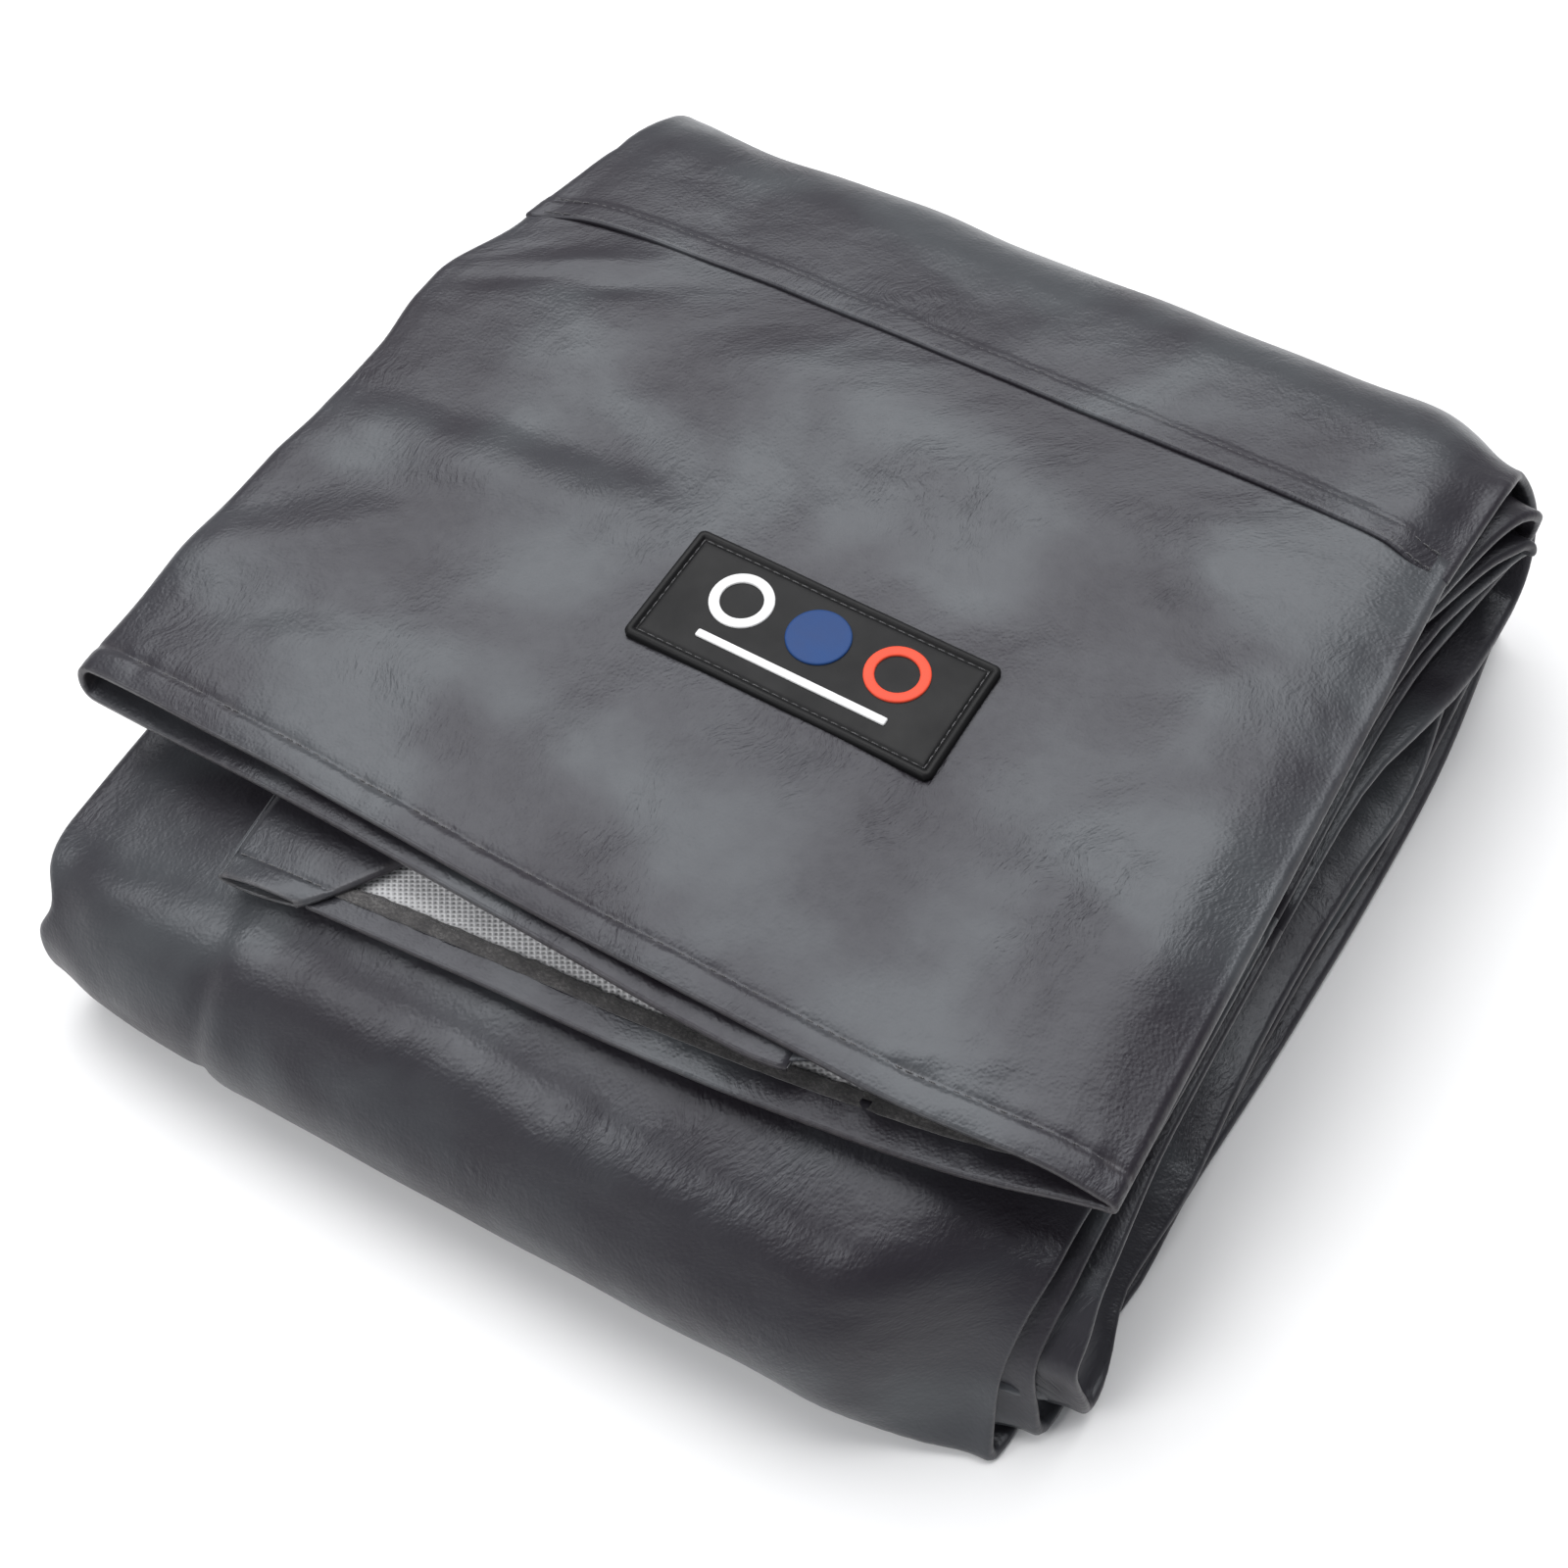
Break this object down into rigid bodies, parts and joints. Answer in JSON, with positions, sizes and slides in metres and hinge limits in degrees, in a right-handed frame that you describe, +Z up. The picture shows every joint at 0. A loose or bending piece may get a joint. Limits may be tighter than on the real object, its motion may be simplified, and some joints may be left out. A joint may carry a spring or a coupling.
{
  "type": "folded fitted cover",
  "caption": "Fitted leatherette cover with stitched hem, lapped seam and moulded patch, folded into a flat bundle that opens over its front and back bends.",
  "frame": {"origin": "middle of the bundle's outline, on the floor under it", "axes": "+X along the stitched hem to the right, +Y from the hem to the back bend, +Z up"},
  "size_m": [0.323, 0.3234, 0.0911],
  "materials": {
    "leatherette": "satin, fine pebble grain with soft cloudy handling marks",
    "knit_backing": "matt white knitted mesh",
    "hem_tape": "matt grey raw non-woven tape",
    "thread": "twisted polyester thread",
    "patch_rubber": "satin moulded rubber",
    "emblem_white": "satin moulded rubber",
    "emblem_blue": "satin moulded rubber",
    "emblem_red": "satin moulded rubber"
  },
  "bodies": {
    "base_strip": {"base_panel_upper_fold": "leatherette", "base_panel_centre_fold": "leatherette", "base_panel_lower_fold": "leatherette", "rear_skirt_upper_fold": "leatherette", "rear_skirt_centre_fold": "leatherette", "rear_skirt_lower_fold": "leatherette", "rear_hem_upper": "leatherette", "rear_hem_lower": "leatherette", "front_bend_inner": "leatherette", "front_bend_centre": "leatherette", "front_bend_outer": "leatherette", "rear_hem_thread": "thread"},
    "middle_strip": {"middle_panel_upper_fold": "leatherette", "middle_panel_centre_fold": "leatherette", "middle_panel_lower_fold": "leatherette", "back_bend_inner": "leatherette", "back_bend_centre": "leatherette", "back_bend_outer": "leatherette"},
    "top_flap": {"front_skirt_top_leaf": "leatherette", "front_skirt_left_leaf": "leatherette", "front_skirt_right_leaf": "leatherette", "front_skirt_inner_leaf": "leatherette", "front_skirt_lower_fold": "leatherette", "top_panel_upper_fold": "leatherette", "top_panel_centre_fold": "leatherette", "top_panel_lower_fold": "leatherette", "seam_lap": "leatherette", "seam_thread_front": "thread", "seam_thread_rear": "thread", "front_hem_top_leaf": "leatherette", "front_hem_left_leaf": "leatherette", "front_hem_right_leaf": "leatherette", "front_hem_thread": "thread", "hem_tape": "hem_tape", "knitted_backing": "knit_backing", "turned_tab": "leatherette", "turned_tab_thread": "thread", "turned_corner": "leatherette", "patch_base": "patch_rubber", "patch_rim": "patch_rubber", "patch_thread": "thread", "emblem_white_ring": "emblem_white", "emblem_blue_disc": "emblem_blue", "emblem_red_ring": "emblem_red", "emblem_white_bar": "emblem_white"}
  },
  "joints": [
    {"name": "unfold_middle", "type": "hinge", "parent": "base_strip", "child": "middle_strip", "pos_m": [0, -0.132, 0.02935], "axis": [1, 0, 0], "range_deg": [0, 179], "deforming": ["front_bend_inner", "front_bend_centre", "front_bend_outer"]},
    {"name": "unfold_top", "type": "hinge", "parent": "middle_strip", "child": "top_flap", "pos_m": [0, 0.132, 0.05975], "axis": [-1, 0, 0], "range_deg": [0, 179], "deforming": ["back_bend_inner", "back_bend_centre", "back_bend_outer"]}
  ]
}
